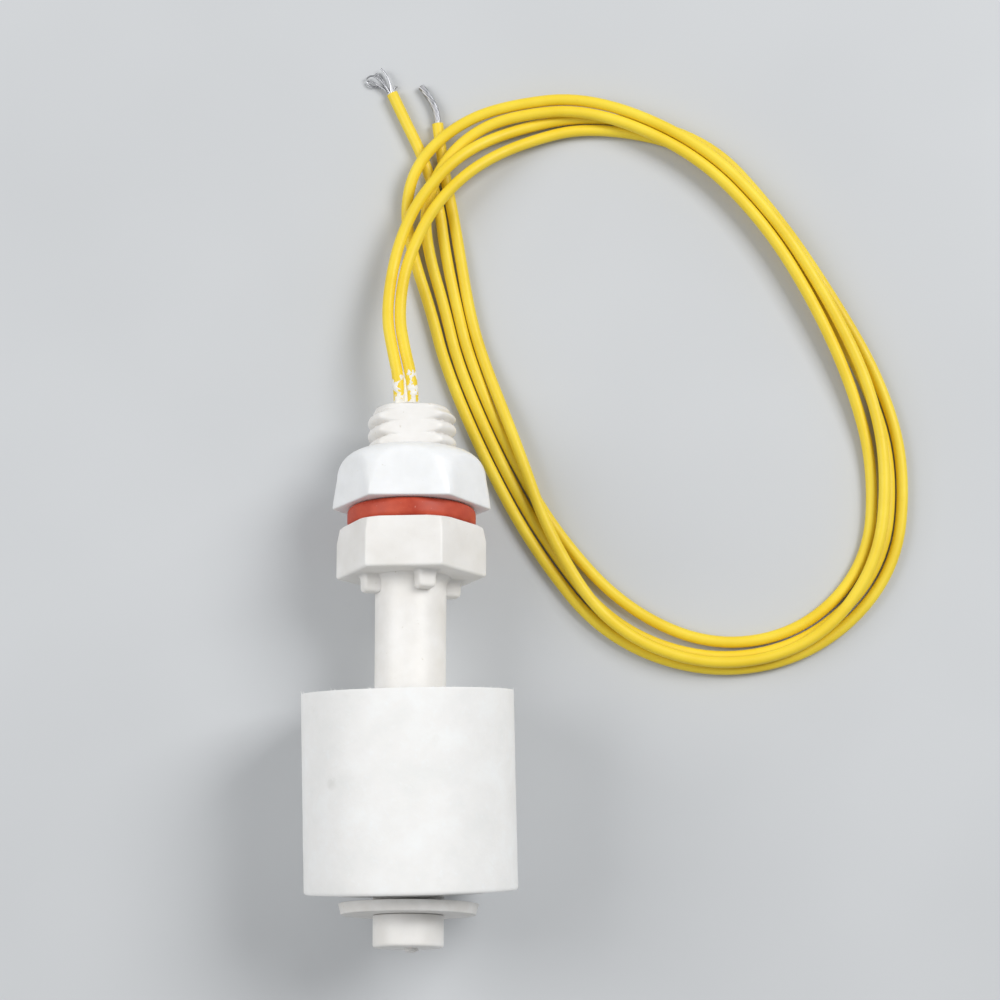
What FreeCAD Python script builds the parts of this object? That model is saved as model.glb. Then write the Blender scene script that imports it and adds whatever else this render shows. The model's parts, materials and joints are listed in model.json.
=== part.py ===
# Float level switch: a plastic stem with a potted reed contact, a hexagonal flange and a
# threaded spigot with its gasket and nut, and a float with a ring magnet that slides on the stem.
# The switch lies on a floor at z = 0. Each stem piece is drawn upright, with its Z along the stem
# towards the cable and z = 0 at the flange's seat face; the float's pieces have z = 0 at mid-length.
import FreeCAD, Part
import Sketcher
import math
import os

V = FreeCAD.Vector
doc = FreeCAD.newDocument("float_level_switch")

# ---------------------------------------------------------------- driving dimensions, millimetres
SIZES = {
    # the whole switch, from the mouth of the spigot to the tip of the stem
    "switch_length": 59.6,
    # threaded spigot and hexagonal flange
    "spigot_length": 13.6,
    "thread_diameter": 9.9,
    "thread_draft": 0.15,
    "thread_chamfer": 0.7,
    "free_end_gap": 0.1,
    "flange_height": 5.6,
    "flange_across_flats": 14.5,
    "flange_corner_cut": 0.45,
    # four stop lugs under the flange
    "lug_reach": 5.65,
    "lug_width": 2.0,
    "lug_height": 1.9,
    # stem tube
    "stem_top_diameter": 7.9,
    "stem_tip_diameter": 7.65,
    "stem_overhang": 3.5,
    "tip_round": 0.35,
    "root_flare": 0.35,
    "gate_diameter": 1.45,
    "gate_height": 0.5,
    "gate_offset": 0.35,
    "bore_diameter": 4.6,
    "tip_wall": 2.0,
    # gasket and nut
    "gasket_thickness": 2.2,
    "gasket_diameter": 14.4,
    "gasket_edge_round": 0.7,
    "gasket_clearance": 0.05,
    "gasket_seat_gap": 0.02,
    "nut_height": 6.4,
    "nut_across_flats": 15.4,
    "nut_seat_diameter": 17.7,
    "nut_dome_radius": 2.9,
    "nut_top_diameter": 10.8,
    "nut_clearance": 0.07,
    # retaining clip and its groove
    "clip_thickness": 1.2,
    "clip_diameter": 15.2,
    "clip_taper": 0.3,
    "clip_opening": 4.5,
    "clip_groove_diameter": 6.4,
    "clip_side_gap": 0.05,
    # float, with its closing cap and ring magnet
    "float_diameter": 23.3,
    "float_length": 21.7,
    "float_sag": 0.1,
    "float_slack": 0.04,
    "float_end_gap": 1.03,
    "float_mouth": 0.5,
    "float_edge_round": 0.5,
    "sleeve_wall": 0.6,
    "cap_diameter": 16.1,
    "cap_depth": 1.2,
    "cap_proud": 0.18,
    "cap_clearance": 0.02,
    "magnet_diameter": 15.4,
    "magnet_length": 5.0,
    "magnet_clearance": 0.08,
    # reed contact, joints and wire ends inside the stem
    "reed_depth": 27.0,
    "reed_offset": 0.6,
    "glass_diameter": 2.1,
    "glass_length": 13.0,
    "glass_wall": 0.35,
    "glass_end_round": 0.5,
    "lead_diameter": 0.5,
    "blade_width": 1.1,
    "blade_thickness": 0.2,
    "blade_gap": 0.08,
    "blade_overlap": 1.2,
    "return_offset": 1.0,
    "return_drop": 1.2,
    "sleeve_diameter": 0.9,
    "sleeve_top": 13.5,
    "joint_diameter": 1.7,
    "joint_length": 2.4,
    "joint_a_depth": 15.0,
    "joint_b_depth": 12.2,
    "joint_a_offset": 1.0,
    "joint_b_offset": 0.55,
    "wire_diameter": 1.3,
    "core_diameter": 0.6,
    "core_length": 0.8,
    "wire_a_offset": 1.4,
    "wire_b_offset": 0.1,
    "potting_recess": 0.25,
}

# sizes and positions that follow from the driving dimensions
DERIVED = {
    "tip_end": "=switch_length - spigot_length",
    "bore_end": "=tip_end - tip_wall",
    "clip_face": "=tip_end - stem_overhang - clip_thickness",
    "float_distance": "=clip_face - float_end_gap - cap_proud - float_length/2",
    "flat_rise": "=nut_height - nut_dome_radius"
                 " + sqrt(nut_dome_radius^2 - (nut_across_flats/2 - nut_top_diameter/2)^2)",
    "nut_reach": "=gasket_thickness + flat_rise + float_distance",
    "lean": "=asin((float_diameter/2 - float_sag) / sqrt(nut_reach^2 + (nut_across_flats/2)^2))"
            " - atan(nut_across_flats/2 / nut_reach)",
    "float_bore_radius": "=stem_top_diameter/2 / cos(lean)"
                         " + (float_length/2 - float_mouth) * tan(lean) + float_sag + float_slack",
    "mouth_radius": "=thread_diameter/2 - thread_chamfer",
    "float_y": "=((tip_end + gate_height - spigot_length - 2*float_distance) * cos(lean)"
               " + (gate_diameter/2 - mouth_radius) * sin(lean)) / 2",
    "seat_y": "=float_y + float_distance * cos(lean)",
    "seat_z": "=float_diameter/2 - float_sag - float_distance * sin(lean)",
}

sheet = doc.addObject("Spreadsheet::Sheet", "Dim")
for row, (alias, value) in enumerate(list(SIZES.items()) + list(DERIVED.items()), start=1):
    sheet.set("A%d" % row, alias)
    sheet.set("B%d" % row, str(value))
    sheet.setAlias("B%d" % row, alias)
doc.recompute()


# ---------------------------------------------------------------- drawing helpers
def worth(feature, text):
    """The present value of a sheet expression, as a plain number."""
    return float(feature.evalExpression(text))


def new_body(label):
    body = doc.addObject("PartDesign::Body", label)
    body.Label = label
    return body


def on_stem(body):
    """Lay a piece down with the stem, its cable end leaning towards the floor."""
    body.Placement = FreeCAD.Placement(V(0, 0, 0), FreeCAD.Rotation(V(-1, 0, 0), 96))
    body.setExpression("Placement.Rotation.Angle", "90 deg + Dim.lean")
    body.setExpression("Placement.Base.y", "Dim.seat_y")
    body.setExpression("Placement.Base.z", "Dim.seat_z")


FLOAT_YAW = 1.3   # degrees that the float lies askew of the stem, seen from above


def on_float(body):
    """Lay a piece down with the float, flat on the floor."""
    askew = FreeCAD.Rotation(V(0, 0, 1), FLOAT_YAW)
    body.Placement = FreeCAD.Placement(V(0, 0, 0), askew * FreeCAD.Rotation(V(-1, 0, 0), 90))
    body.setExpression("Placement.Base.y", "Dim.float_y")
    body.setExpression("Placement.Base.z", "Dim.float_diameter / 2")


def sketch_on(body, name, plane, shift_x="", shift_z=""):
    sketch = body.newObject("Sketcher::SketchObject", name)
    support = [item for item in body.Origin.OriginFeatures if item.Role == plane][0]
    sketch.AttachmentSupport = [(support, "")]
    sketch.MapMode = "FlatFace"
    if shift_x:
        sketch.setExpression("AttachmentOffset.Base.x", shift_x)
    if shift_z:
        sketch.setExpression("AttachmentOffset.Base.z", shift_z)
    return sketch


def place_point(sketch, edge, end, at, texts):
    """Fix one end of an edge at the two distances the sheet gives."""
    for kind, text, value in (("DistanceX", texts[0], at.x), ("DistanceY", texts[1], at.y)):
        index = sketch.addConstraint(Sketcher.Constraint(kind, -1, 1, edge, end, value))
        sketch.setExpression("Constraints[%d]" % index, text)


def arc_between(start, end, radius, side):
    """An arc from start to end; side +1 has its centre on the left of the way, -1 on the right."""
    chord = end - start
    reach = math.sqrt(max(radius ** 2 - (chord.Length / 2) ** 2, 0))
    left = V(-chord.y, chord.x, 0)
    left.normalize()
    centre = (start + end) * 0.5 + left * (reach * side)
    first, last = (start, end) if side > 0 else (end, start)
    angles = [math.atan2(point.y - centre.y, point.x - centre.x) for point in (first, last)]
    if angles[1] < angles[0]:
        angles[1] += 2 * math.pi
    return Part.ArcOfCircle(Part.Circle(centre, V(0, 0, 1), radius), angles[0], angles[1])


def outline(sketch, corners, rounds=None):
    """Draw a closed outline. rounds maps a corner's index to (radius, side) of the arc leaving it."""
    rounds = rounds or {}
    spots = [V(worth(sketch, x), worth(sketch, y), 0) for x, y in corners]
    count = len(spots)
    ends = []
    for index in range(count):
        start, end = spots[index], spots[(index + 1) % count]
        if index in rounds:
            text, side = rounds[index]
            sketch.addGeometry(arc_between(start, end, worth(sketch, text), side))
            ends.append((1, 2) if side > 0 else (2, 1))
        else:
            sketch.addGeometry(Part.LineSegment(start, end))
            ends.append((1, 2))
    for index in range(count):
        after = (index + 1) % count
        sketch.addConstraint(Sketcher.Constraint("Coincident", index, ends[index][1], after, ends[after][0]))
    for index in range(count):
        place_point(sketch, index, ends[index][0], spots[index], corners[index])
    for index, (text, side) in rounds.items():
        number = sketch.addConstraint(Sketcher.Constraint("Radius", index, worth(sketch, text)))
        sketch.setExpression("Constraints[%d]" % number, text)
    return sketch


def circle(sketch, x, y, radius):
    centre = V(worth(sketch, x), worth(sketch, y), 0)
    edge = sketch.addGeometry(Part.Circle(centre, V(0, 0, 1), worth(sketch, radius)))
    place_point(sketch, edge, 3, centre, (x, y))
    number = sketch.addConstraint(Sketcher.Constraint("Radius", edge, worth(sketch, radius)))
    sketch.setExpression("Constraints[%d]" % number, radius)
    return sketch


def turned(body, name, corners, rounds=None, cut=False, shift_x=""):
    """Revolve an outline about the piece's Z, or about a line beside it."""
    sketch = outline(sketch_on(body, name + "_outline", "XZ_Plane", shift_x), corners, rounds)
    feature = body.newObject("PartDesign::Groove" if cut else "PartDesign::Revolution", name)
    feature.Profile = sketch
    feature.ReferenceAxis = (sketch, ["V_Axis"])
    feature.Angle = 360
    return feature


def extruded(body, name, sketch, length, cut=False, down=False):
    feature = body.newObject("PartDesign::Pocket" if cut else "PartDesign::Pad", name)
    feature.Profile = sketch
    feature.setExpression("Length", length)
    feature.Reversed = down
    return feature


def hexagon(sketch, across, turn):
    """Six corners, the first at the given angle from +X."""
    corners = []
    for step in range(6):
        angle = turn + 60 * step
        corners.append(("%s / sqrt(3) * cos(%g deg)" % (across, angle),
                        "%s / sqrt(3) * sin(%g deg)" % (across, angle)))
    return outline(sketch, corners)


def rod(body, name, x, bottom, top, radius):
    """A straight round bar parallel to the stem."""
    sketch = circle(sketch_on(body, name + "_section", "XY_Plane", shift_z=bottom), x, "0", radius)
    return extruded(body, name, sketch, "%s - (%s)" % (top, bottom))


# ---------------------------------------------------------------- stem moulding
FLANGE_TURN = 4.6    # degrees that the flange's corners stand past the nut's
LUG_TURN = -68.5     # degrees from +X to the first stop lug

stem = new_body("stem_body")
SEAT = "0"
UNDERSIDE = "-Dim.flange_height"
turned(stem, "stem_turned", [
    ("0", "-Dim.tip_end"),
    ("Dim.stem_tip_diameter / 2 - Dim.tip_round", "-Dim.tip_end"),
    ("Dim.stem_tip_diameter / 2", "-Dim.tip_end + Dim.tip_round"),
    ("Dim.stem_top_diameter / 2", UNDERSIDE + " - Dim.root_flare"),
    ("Dim.stem_top_diameter / 2 + Dim.root_flare", UNDERSIDE),
    ("Dim.flange_across_flats / 2 - 1", UNDERSIDE),
    ("Dim.flange_across_flats / 2 - 1", SEAT),
    ("Dim.thread_diameter / 2 + Dim.thread_draft", SEAT),
    ("Dim.thread_diameter / 2", "Dim.gasket_thickness + Dim.nut_height + Dim.free_end_gap"),
    ("Dim.thread_diameter / 2", "Dim.spigot_length - Dim.thread_chamfer"),
    ("Dim.mouth_radius", "Dim.spigot_length"),
    ("0", "Dim.spigot_length"),
], {1: ("Dim.tip_round", 1)})
flange_outline = hexagon(sketch_on(stem, "flange_outline", "XY_Plane"), "Dim.flange_across_flats",
                         -60 - FLANGE_TURN)
extruded(stem, "flange", flange_outline, "Dim.flange_height", down=True)
turned(stem, "flange_corner_trim", [
    ("Dim.flange_across_flats / sqrt(3) - Dim.flange_corner_cut", SEAT),
    ("Dim.flange_across_flats / sqrt(3) + 1", SEAT),
    ("Dim.flange_across_flats / sqrt(3) + 1", "-Dim.flange_corner_cut - 1"),
], cut=True)

lug_outline = sketch_on(stem, "lug_outline", "XY_Plane", shift_z=UNDERSIDE)
along = (math.cos(math.radians(LUG_TURN)), math.sin(math.radians(LUG_TURN)))
LUG_START = 3.6   # the lug's foot reaches inside the stem wall
lug_corners = []
for reach, side in (("%g" % LUG_START, -0.5), ("Dim.lug_reach", -0.5), ("Dim.lug_reach", 0.5),
                    ("%g" % LUG_START, 0.5)):
    lug_corners.append(("%s * %.6f - Dim.lug_width * %.6f" % (reach, along[0], side * along[1]),
                        "%s * %.6f + Dim.lug_width * %.6f" % (reach, along[1], side * along[0])))
outline(lug_outline, lug_corners)
lug = extruded(stem, "stop_lug", lug_outline, "Dim.lug_height", down=True)
lugs = stem.newObject("PartDesign::PolarPattern", "stop_lugs")
lugs.Originals = [lug]
lugs.Axis = (lug_outline, ["N_Axis"])
lugs.Angle = 360
lugs.Occurrences = 4
stem.Tip = lugs

gate_outline = circle(sketch_on(stem, "gate_outline", "XY_Plane", shift_z="-Dim.tip_end"),
                      "Dim.gate_offset", "0", "Dim.gate_diameter / 2")
extruded(stem, "gate_mark", gate_outline, "Dim.gate_height", down=True)
turned(stem, "clip_groove", [
    ("Dim.clip_groove_diameter / 2", "-Dim.clip_face - Dim.clip_thickness - Dim.clip_side_gap"),
    ("Dim.stem_top_diameter", "-Dim.clip_face - Dim.clip_thickness - Dim.clip_side_gap"),
    ("Dim.stem_top_diameter", "-Dim.clip_face + Dim.clip_side_gap"),
    ("Dim.clip_groove_diameter / 2", "-Dim.clip_face + Dim.clip_side_gap"),
], cut=True)
turned(stem, "reed_bore", [
    ("0", "-Dim.bore_end"),
    ("Dim.bore_diameter / 2", "-Dim.bore_end"),
    ("Dim.bore_diameter / 2", "Dim.spigot_length + 1"),
    ("0", "Dim.spigot_length + 1"),
], cut=True)
on_stem(stem)

# ---------------------------------------------------------------- gasket and nut on the spigot
gasket = new_body("gasket")
GASKET_BORE = "Dim.thread_diameter / 2 + Dim.thread_draft + Dim.gasket_clearance"
GASKET_SIDE = "Dim.gasket_diameter / 2"
GASKET_TOP = "Dim.gasket_thickness - Dim.gasket_seat_gap"
turned(gasket, "gasket_ring", [
    (GASKET_BORE, "Dim.gasket_seat_gap"),
    (GASKET_SIDE + " - Dim.gasket_edge_round", "Dim.gasket_seat_gap"),
    (GASKET_SIDE, "Dim.gasket_seat_gap + Dim.gasket_edge_round"),
    (GASKET_SIDE, GASKET_TOP + " - Dim.gasket_edge_round"),
    (GASKET_SIDE + " - Dim.gasket_edge_round", GASKET_TOP),
    (GASKET_BORE, GASKET_TOP),
], {1: ("Dim.gasket_edge_round", 1), 3: ("Dim.gasket_edge_round", 1)})
on_stem(gasket)

nut = new_body("mounting_nut")
NUT_BORE = "Dim.thread_diameter / 2 + Dim.thread_draft + Dim.nut_clearance"
nut_outline = hexagon(sketch_on(nut, "nut_outline", "XY_Plane", shift_z="Dim.gasket_thickness"),
                      "Dim.nut_across_flats", 0)
extruded(nut, "nut_block", nut_outline, "Dim.nut_height")
NUT_TOP = "Dim.gasket_thickness + Dim.nut_height"
DOME_START = "Dim.gasket_thickness + Dim.nut_height - Dim.nut_dome_radius"
turned(nut, "nut_dome", [
    ("Dim.nut_seat_diameter / 2", "Dim.gasket_thickness"),
    ("Dim.nut_top_diameter / 2 + Dim.nut_dome_radius", DOME_START),
    ("Dim.nut_top_diameter / 2", NUT_TOP),
    ("Dim.nut_top_diameter / 2", NUT_TOP + " + 1"),
    ("Dim.nut_across_flats", NUT_TOP + " + 1"),
    ("Dim.nut_across_flats", "Dim.gasket_thickness - 1"),
    ("Dim.nut_seat_diameter / 2", "Dim.gasket_thickness - 1"),
], {1: ("Dim.nut_dome_radius", 1)}, cut=True)
turned(nut, "nut_bore", [
    ("0", "Dim.gasket_thickness - 1"),
    (NUT_BORE, "Dim.gasket_thickness - 1"),
    (NUT_BORE, NUT_TOP + " + 1"),
    ("0", NUT_TOP + " + 1"),
], cut=True)
on_stem(nut)

# ---------------------------------------------------------------- retaining clip near the tip
clip = new_body("retaining_clip")
CLIP_BORE = "Dim.clip_groove_diameter / 2 + Dim.clip_side_gap"
turned(clip, "clip_ring", [
    (CLIP_BORE, "-Dim.clip_face - Dim.clip_thickness"),
    ("Dim.clip_diameter / 2 - Dim.clip_taper", "-Dim.clip_face - Dim.clip_thickness"),
    ("Dim.clip_diameter / 2", "-Dim.clip_face"),
    (CLIP_BORE, "-Dim.clip_face"),
])
opening = sketch_on(clip, "opening_outline", "XY_Plane", shift_z="-Dim.clip_face")
outline(opening, [
    ("-Dim.clip_opening / 2", "0"),
    ("Dim.clip_opening / 2", "0"),
    ("Dim.clip_opening / 2", "Dim.clip_diameter"),
    ("-Dim.clip_opening / 2", "Dim.clip_diameter"),
])
extruded(clip, "clip_opening", opening, "Dim.clip_thickness", cut=True)
on_stem(clip)

# ---------------------------------------------------------------- float shell, cap and ring magnet
END = "Dim.float_length / 2"
SKIN = "Dim.float_diameter / 2"
BORE = "Dim.float_bore_radius"
POCKET_IN = BORE + " + Dim.sleeve_wall"
POCKET_OUT = "Dim.magnet_diameter / 2 + Dim.magnet_clearance"
CAP_SEAT = "-" + END + " + Dim.cap_depth"
POCKET_END = CAP_SEAT + " + Dim.magnet_length + 2 * Dim.magnet_clearance"
shell = new_body("float_shell")
turned(shell, "shell_turned", [
    (POCKET_IN, CAP_SEAT),
    (POCKET_IN, POCKET_END),
    (POCKET_OUT, POCKET_END),
    (POCKET_OUT, CAP_SEAT),
    ("Dim.cap_diameter / 2 + Dim.cap_clearance", CAP_SEAT),
    ("Dim.cap_diameter / 2 + Dim.cap_clearance", "-" + END),
    (SKIN + " - Dim.float_edge_round", "-" + END),
    (SKIN, "-" + END + " + Dim.float_edge_round"),
    (SKIN, END),
    (BORE + " + Dim.float_mouth", END),
    (BORE, END + " - Dim.float_mouth"),
    (BORE, CAP_SEAT),
], {6: ("Dim.float_edge_round", 1)})
on_float(shell)

cap = new_body("float_cap")
turned(cap, "cap_disc", [
    (BORE, CAP_SEAT),
    (BORE, "-" + END + " - Dim.cap_proud + Dim.float_mouth"),
    (BORE + " + Dim.float_mouth", "-" + END + " - Dim.cap_proud"),
    ("Dim.cap_diameter / 2 - 0.15", "-" + END + " - Dim.cap_proud"),
    ("Dim.cap_diameter / 2", "-" + END + " - Dim.cap_proud + 0.15"),
    ("Dim.cap_diameter / 2", CAP_SEAT),
])
on_float(cap)

magnet = new_body("float_magnet")
MAGNET_FOOT = CAP_SEAT + " + Dim.magnet_clearance"
turned(magnet, "magnet_ring", [
    (POCKET_IN + " + Dim.magnet_clearance", MAGNET_FOOT),
    ("Dim.magnet_diameter / 2", MAGNET_FOOT),
    ("Dim.magnet_diameter / 2", MAGNET_FOOT + " + Dim.magnet_length"),
    (POCKET_IN + " + Dim.magnet_clearance", MAGNET_FOOT + " + Dim.magnet_length"),
])
on_float(magnet)

# ---------------------------------------------------------------- reed contact inside the stem
REED = "-Dim.reed_offset"
GLASS_LOW = "-Dim.reed_depth - Dim.glass_length / 2"
GLASS_TOP = "-Dim.reed_depth + Dim.glass_length / 2"
SEAL = "3 * Dim.glass_wall"
HOLE = "Dim.lead_diameter / 2"
TUBE = "Dim.glass_diameter / 2"
glass = new_body("reed_glass")
turned(glass, "glass_tube", [
    (HOLE, GLASS_LOW),
    (TUBE + " - Dim.glass_end_round", GLASS_LOW),
    (TUBE, GLASS_LOW + " + Dim.glass_end_round"),
    (TUBE, GLASS_TOP + " - Dim.glass_end_round"),
    (TUBE + " - Dim.glass_end_round", GLASS_TOP),
    (HOLE, GLASS_TOP),
    (HOLE, GLASS_TOP + " - " + SEAL),
    (TUBE + " - Dim.glass_wall", GLASS_TOP + " - " + SEAL + " - 0.4"),
    (TUBE + " - Dim.glass_wall", GLASS_LOW + " + " + SEAL + " + 0.4"),
    (HOLE, GLASS_LOW + " + " + SEAL),
], {1: ("Dim.glass_end_round", 1), 3: ("Dim.glass_end_round", 1)}, shift_x=REED)
on_stem(glass)

BLADE_ROOT = 1.6   # length of round lead inside the glass before it is rolled flat
HALF_LAP = "Dim.blade_overlap / 2"


def flat_blade(body, name, side, bottom, top):
    """The rolled end of a lead; side +1 and -1 are the two halves of the contact gap."""
    near = "%d * Dim.blade_gap / 2" % side
    far = "%d * (Dim.blade_gap / 2 + Dim.blade_thickness)" % side
    left = REED + " - Dim.blade_width / 2"
    right = REED + " + Dim.blade_width / 2"
    sketch = sketch_on(body, name + "_section", "XY_Plane", shift_z=bottom)
    outline(sketch, [(left, near), (right, near), (right, far), (left, far)])
    return extruded(body, name, sketch, "%s - (%s)" % (top, bottom))


blade_a = new_body("reed_blade_a")
JOINT_A_FOOT = "-Dim.joint_a_depth"
JOINT_B_FOOT = "-Dim.joint_b_depth"
rod(blade_a, "lead_a", REED, GLASS_TOP + " - %g" % BLADE_ROOT, JOINT_A_FOOT, HOLE)
flat_blade(blade_a, "contact_a", 1, "-Dim.reed_depth - " + HALF_LAP, GLASS_TOP + " - %g" % BLADE_ROOT)
on_stem(blade_a)

blade_b = new_body("reed_blade_b")
BEND_START = GLASS_LOW + " - Dim.return_drop"
path = sketch_on(blade_b, "lead_b_path", "XZ_Plane")
path_x = [worth(path, REED), worth(path, "Dim.return_offset")]
path_z = [worth(path, GLASS_LOW + " + %g" % BLADE_ROOT), worth(path, BEND_START), worth(path, JOINT_B_FOOT)]
path.addGeometry(Part.LineSegment(V(path_x[0], path_z[0], 0), V(path_x[0], path_z[1], 0)))
bend = Part.Circle(V(sum(path_x) / 2, path_z[1], 0), V(0, 0, 1), (path_x[1] - path_x[0]) / 2)
path.addGeometry(Part.ArcOfCircle(bend, math.pi, 2 * math.pi))
path.addGeometry(Part.LineSegment(V(path_x[1], path_z[1], 0), V(path_x[1], path_z[2], 0)))
path.addConstraint(Sketcher.Constraint("Coincident", 0, 2, 1, 1))
path.addConstraint(Sketcher.Constraint("Coincident", 1, 2, 2, 1))
place_point(path, 0, 1, V(path_x[0], path_z[0], 0), (REED, GLASS_LOW + " + %g" % BLADE_ROOT))
place_point(path, 0, 2, V(path_x[0], path_z[1], 0), (REED, BEND_START))
place_point(path, 2, 1, V(path_x[1], path_z[1], 0), ("Dim.return_offset", BEND_START))
place_point(path, 2, 2, V(path_x[1], path_z[2], 0), ("Dim.return_offset", JOINT_B_FOOT))
number = path.addConstraint(Sketcher.Constraint("DistanceY", -1, 1, 1, 3, path_z[1]))
path.setExpression("Constraints[%d]" % number, BEND_START)
section = circle(sketch_on(blade_b, "lead_b_section", "XY_Plane", shift_z=GLASS_LOW + " + %g" % BLADE_ROOT),
                 REED, "0", HOLE)
lead_b = blade_b.newObject("PartDesign::AdditivePipe", "lead_b")
lead_b.Profile = section
lead_b.Spine = (path, ["Edge1", "Edge2", "Edge3"])
flat_blade(blade_b, "contact_b", -1, GLASS_LOW + " + %g" % BLADE_ROOT, "-Dim.reed_depth + " + HALF_LAP)
on_stem(blade_b)

sleeve = new_body("lead_sleeve")
sleeve_section = sketch_on(sleeve, "sleeve_section", "XY_Plane", shift_z=BEND_START)
circle(sleeve_section, "Dim.return_offset", "0", "Dim.sleeve_diameter / 2")
circle(sleeve_section, "Dim.return_offset", "0", HOLE)
extruded(sleeve, "sleeve_tube", sleeve_section, "-Dim.sleeve_top - (%s)" % BEND_START)
on_stem(sleeve)


# ---------------------------------------------------------------- solder joints and wire ends
def solder_joint(label, offset, foot):
    body = new_body(label)
    half = "Dim.joint_diameter / 2"
    top = foot + " + Dim.joint_length"
    turned(body, label + "_bead", [
        ("0", foot), (half + " - 0.05", foot), (half, foot + " + 0.05"),
        (half, top + " - 0.05"), (half + " - 0.05", top), ("0", top),
    ], shift_x=offset)
    on_stem(body)
    return body


def wire_end(label, offset, foot):
    """The end of an insulated wire in the potting, its bared core in the solder."""
    body = new_body(label)
    bared = foot + " + Dim.core_length"
    rod(body, label + "_core", offset, foot, bared, "Dim.core_diameter / 2")
    rod(body, label + "_jacket", offset, bared, "Dim.spigot_length", "Dim.wire_diameter / 2")
    on_stem(body)
    return body


joint_a = solder_joint("solder_joint_a", "-Dim.joint_a_offset", JOINT_A_FOOT)
joint_b = solder_joint("solder_joint_b", "Dim.joint_b_offset", JOINT_B_FOOT)
stub_a = wire_end("wire_end_a", "-Dim.wire_a_offset", JOINT_A_FOOT + " + Dim.joint_length")
stub_b = wire_end("wire_end_b", "Dim.wire_b_offset", JOINT_B_FOOT + " + Dim.joint_length")

# ---------------------------------------------------------------- potting that fills the bore
fill = new_body("potting_fill")
rod(fill, "fill_bar", "0", "-Dim.bore_end", "Dim.spigot_length - Dim.potting_recess", "Dim.bore_diameter / 2")
on_stem(fill)
core = new_body("glass_core")
rod(core, "core_bar", REED, GLASS_LOW + " + 0.2", GLASS_TOP + " - 0.2", TUBE + " - Dim.glass_wall / 2")
on_stem(core)
buried = doc.addObject("Part::MultiFuse", "buried_pieces")
buried.Shapes = [glass, core, blade_a, blade_b, sleeve, joint_a, joint_b, stub_a, stub_b]
potting = doc.addObject("Part::Cut", "potting")
potting.Base = fill
potting.Tool = buried
potting.Label = "potting"
doc.recompute()

# ---------------------------------------------------------------- the two loose wires, 0.4 m each
# Two laps of a loose coil beside the switch, the pair lying side by side on the floor.
mouth = V(0, sheet.seat_y + sheet.spigot_length * math.cos(math.radians(sheet.lean.Value)),
          sheet.seat_z - sheet.spigot_length * math.sin(math.radians(sheet.lean.Value)))
WIRE_A = [
    (-1.4, mouth.y, mouth.z), (-1.5, 33.1, 6.62), (-2.3, 36.8, 6.1), (-3.0, 40.6, 5.3),
    (-2.6, 45.5, 4.4), (-1.5, 50.4, 3.8), (0.8, 55.2, 3.8), (5.2, 60.1, 3.6), (11.1, 63.4, 1.4),
    (20.4, 65.6, 0.7), (33.6, 63.0, 0.7), (41.8, 53.7, 0.7), (48.1, 44.1, 0.7), (53.5, 34.4, 0.7),
    (56.3, 24.3, 0.7), (55.0, 11.9, 0.7), (46.1, 2.8, 0.7), (33.9, 0.2, 0.7), (21.7, 4.5, 0.7),
    (13.6, 14.8, 0.7), (8.1, 25.0, 0.7), (3.6, 35.6, 0.7), (1.9, 42.3, 0.7), (-0.1, 48.4, 0.7),
    (-1.2, 53.7, 1.3), (0.0, 59.0, 2.2), (4.1, 63.4, 2.2), (9.8, 66.1, 2.1), (20.3, 67.4, 2.2),
    (33.1, 61.9, 2.2), (41.5, 53.2, 2.2), (47.5, 43.5, 2.1), (52.1, 33.7, 2.1), (54.0, 24.0, 2.1),
    (52.8, 12.7, 2.1), (45.5, 3.5, 2.1), (33.8, 0.9, 2.1), (22.3, 5.3, 2.1), (15.5, 15.8, 2.1),
    (11.8, 26.5, 2.1), (7.8, 36.8, 0.7), (6.3, 42.3, 0.7), (5.2, 49.0, 0.7), (4.3, 54.3, 0.7),
    (3.2, 59.5, 0.7), (2.6, 64.4, 0.7),
]
WIRE_B = [
    (0.1, mouth.y, mouth.z), (0.0, 33.1, 6.62), (-0.9, 36.8, 6.1), (-1.6, 40.6, 5.3),
    (-1.2, 45.5, 4.4), (0.1, 49.6, 3.8), (2.4, 54.1, 3.8), (6.6, 58.5, 3.4), (12.3, 61.9, 1.4),
    (20.4, 64.2, 0.7), (32.9, 61.7, 0.7), (40.6, 52.7, 0.7), (46.8, 43.3, 0.7), (52.1, 33.8, 0.7),
    (54.8, 24.2, 0.7), (53.6, 12.6, 0.7), (45.3, 4.1, 0.7), (34.0, 1.7, 0.7), (22.6, 5.7, 0.7),
    (14.9, 15.6, 0.7), (9.4, 25.6, 0.7), (5.0, 36.0, 0.7), (3.5, 42.5, 0.7), (1.6, 49.0, 0.7),
    (1.1, 53.6, 1.8), (2.7, 58.5, 2.3), (5.9, 62.4, 2.2), (10.8, 64.9, 2.2), (20.3, 65.9, 2.2),
    (32.3, 60.7, 2.2), (40.4, 52.3, 2.1), (46.1, 42.7, 2.1), (50.3, 33.1, 1.5), (52.6, 24.1, 0.7),
    (51.9, 13.3, 0.7), (44.6, 5.4, 0.7), (34.2, 3.4, 0.7), (24.1, 7.8, 0.7), (16.2, 16.5, 0.7),
    (10.7, 26.2, 0.7), (6.4, 36.4, 0.7), (4.9, 42.5, 0.7), (3.5, 49.2, 0.7), (2.8, 54.8, 0.7),
    (0.9, 60.5, 0.7), (-1.2, 64.8, 0.7), (-2.7, 68.0, 0.7),
]
ARC_SHARE = 0.45   # share of the shorter neighbouring run that an arc takes


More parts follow.
